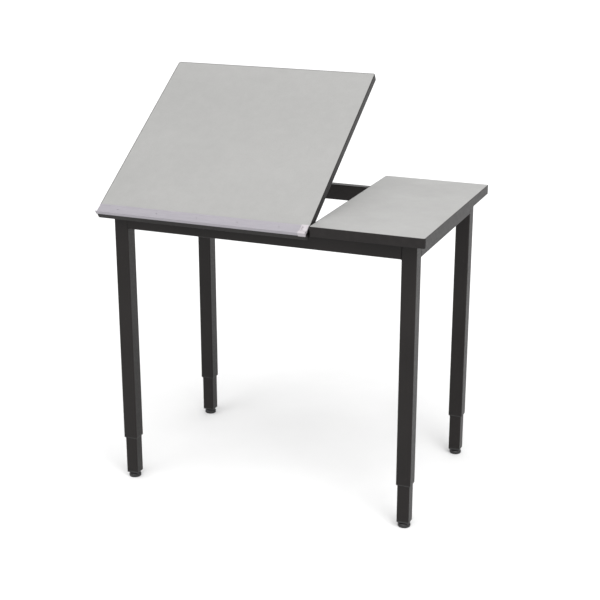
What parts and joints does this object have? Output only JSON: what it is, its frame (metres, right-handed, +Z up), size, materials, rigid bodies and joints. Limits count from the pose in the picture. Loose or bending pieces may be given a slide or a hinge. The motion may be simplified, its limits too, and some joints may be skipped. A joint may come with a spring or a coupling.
{
  "type": "split-top drafting table",
  "caption": "Split-top drafting table: a tilting laminate drawing board with a pencil ledge beside a fixed side top, on a black steel frame with telescopic legs and levelling feet.",
  "frame": {"origin": "on the floor, under the middle of the table's own box, with the board at its stored working tilt of 33 degrees", "axes": "+X towards the side top, +Y to the back of the table, +Z up"},
  "size_m": [0.914, 0.6242, 1.1234],
  "materials": {
    "grey_laminate": "fine-grained high-pressure laminate, satin",
    "backing_sheet": "brown-black phenolic balancing sheet, matt",
    "panel_core": "particle board, sealed by the skins and the edging",
    "black_edging": "moulded vinyl T-section edging, satin",
    "frame_powder_coat": "powder coat, fine texture, semi-matt",
    "zinc_steel": "bright zinc plate",
    "black_zinc": "black zinc plate, satin",
    "strut_steel": "black painted bar",
    "black_nylon": "moulded nylon, matt",
    "bumper_rubber": "rubber, matt",
    "ledge_aluminium": "satin anodised extrusion",
    "grey_cap_plastic": "moulded grey plastic, satin"
  },
  "bodies": {
    "table_frame": {"front_rail": "frame_powder_coat", "rear_rail": "frame_powder_coat", "left_rail": "frame_powder_coat", "right_rail": "frame_powder_coat", "cross_rail": "frame_powder_coat", "centre_track": "frame_powder_coat", "top_tabs": "frame_powder_coat", "top_screws": "zinc_steel", "board_bumpers": "bumper_rubber", "guide_bushes": "black_nylon", "leg_caps": "black_nylon", "lock_nuts": "zinc_steel", "leg_tube_front_left": "frame_powder_coat", "leg_tube_front_right": "frame_powder_coat", "leg_tube_rear_left": "frame_powder_coat", "leg_tube_rear_right": "frame_powder_coat", "side_top_core": "panel_core", "side_top_laminate": "grey_laminate", "side_top_backer": "backing_sheet", "side_top_edging": "black_edging", "hinge_frame_leaf": "frame_powder_coat", "hinge_frame_screws": "zinc_steel", "hinge_pin": "zinc_steel"},
    "drawing_board": {"board_core": "panel_core", "board_laminate": "grey_laminate", "board_backer": "backing_sheet", "board_edging": "black_edging", "hinge_board_leaf": "frame_powder_coat", "hinge_board_screws": "zinc_steel", "pencil_ledge": "ledge_aluminium", "ledge_end_cap": "grey_cap_plastic", "ledge_screws": "ledge_aluminium", "strut_bracket": "frame_powder_coat", "bracket_screws": "zinc_steel", "strut_pivot_pin": "zinc_steel"},
    "tilt_strut": {"strut": "strut_steel", "clamp_bolt": "zinc_steel", "clamp_washers": "zinc_steel"},
    "knob": {"clamp_knob": "black_nylon"},
    "leg_front_left": {"inner_leg_front_left": "frame_powder_coat", "leg_plug_front_left": "black_nylon"},
    "foot_front_left": {"foot_stem_front_left": "black_zinc", "foot_pad_front_left": "black_nylon"},
    "lock_front_left": {"lock_bolt_front_left": "zinc_steel"},
    "leg_front_right": {"inner_leg_front_right": "frame_powder_coat", "leg_plug_front_right": "black_nylon"},
    "foot_front_right": {"foot_stem_front_right": "black_zinc", "foot_pad_front_right": "black_nylon"},
    "lock_front_right": {"lock_bolt_front_right": "zinc_steel"},
    "leg_rear_left": {"inner_leg_rear_left": "frame_powder_coat", "leg_plug_rear_left": "black_nylon"},
    "foot_rear_left": {"foot_stem_rear_left": "black_zinc", "foot_pad_rear_left": "black_nylon"},
    "lock_rear_left": {"lock_bolt_rear_left": "zinc_steel"},
    "leg_rear_right": {"inner_leg_rear_right": "frame_powder_coat", "leg_plug_rear_right": "black_nylon"},
    "foot_rear_right": {"foot_stem_rear_right": "black_zinc", "foot_pad_rear_right": "black_nylon"},
    "lock_rear_right": {"lock_bolt_rear_right": "zinc_steel"}
  },
  "joints": [
    {"name": "board_tilt", "type": "hinge", "parent": "table_frame", "child": "drawing_board", "pos_m": [-0.154, -0.26496, 0.7909], "axis": [1, 0, 0], "range_deg": [-33, 12]},
    {"name": "strut_swing", "type": "hinge", "parent": "drawing_board", "child": "tilt_strut", "pos_m": [-0.154, -0.05714, 0.91155], "axis": [1, 0, 0], "range_deg": [-24, 66]},
    {"name": "knob_turn", "type": "hinge", "parent": "tilt_strut", "child": "knob", "pos_m": [-0.181, 0.13593, 0.76849], "axis": [-1, 0, 0], "range_deg": [0, 360]},
    {"name": "leg_slide_front_left", "type": "slide", "parent": "table_frame", "child": "leg_front_left", "axis": [0, 0, -1], "range_m": [-0.076, 0.127]},
    {"name": "foot_turn_front_left", "type": "hinge", "parent": "leg_front_left", "child": "foot_front_left", "pos_m": [-0.406, -0.24186, 0.01], "axis": [0, 0, 1], "continuous": true},
    {"name": "lock_turn_front_left", "type": "hinge", "parent": "table_frame", "child": "lock_front_left", "pos_m": [-0.406, -0.21186, 0.187], "axis": [0, 1, 0], "range_deg": [0, 180]},
    {"name": "leg_slide_front_right", "type": "slide", "parent": "table_frame", "child": "leg_front_right", "axis": [0, 0, -1], "range_m": [-0.076, 0.127]},
    {"name": "foot_turn_front_right", "type": "hinge", "parent": "leg_front_right", "child": "foot_front_right", "pos_m": [0.406, -0.24186, 0.01], "axis": [0, 0, 1], "continuous": true},
    {"name": "lock_turn_front_right", "type": "hinge", "parent": "table_frame", "child": "lock_front_right", "pos_m": [0.406, -0.21186, 0.187], "axis": [0, 1, 0], "range_deg": [0, 180]},
    {"name": "leg_slide_rear_left", "type": "slide", "parent": "table_frame", "child": "leg_rear_left", "axis": [0, 0, -1], "range_m": [-0.076, 0.127]},
    {"name": "foot_turn_rear_left", "type": "hinge", "parent": "leg_rear_left", "child": "foot_rear_left", "pos_m": [-0.406, 0.25614, 0.01], "axis": [0, 0, 1], "continuous": true},
    {"name": "lock_turn_rear_left", "type": "hinge", "parent": "table_frame", "child": "lock_rear_left", "pos_m": [-0.406, 0.28614, 0.187], "axis": [0, 1, 0], "range_deg": [0, 180]},
    {"name": "leg_slide_rear_right", "type": "slide", "parent": "table_frame", "child": "leg_rear_right", "axis": [0, 0, -1], "range_m": [-0.076, 0.127]},
    {"name": "foot_turn_rear_right", "type": "hinge", "parent": "leg_rear_right", "child": "foot_rear_right", "pos_m": [0.406, 0.25614, 0.01], "axis": [0, 0, 1], "continuous": true},
    {"name": "lock_turn_rear_right", "type": "hinge", "parent": "table_frame", "child": "lock_rear_right", "pos_m": [0.406, 0.28614, 0.187], "axis": [0, 1, 0], "range_deg": [0, 180]}
  ],
  "couplings": [
    {"joint": "strut_swing", "follows": "board_tilt", "ratio": -2}
  ]
}
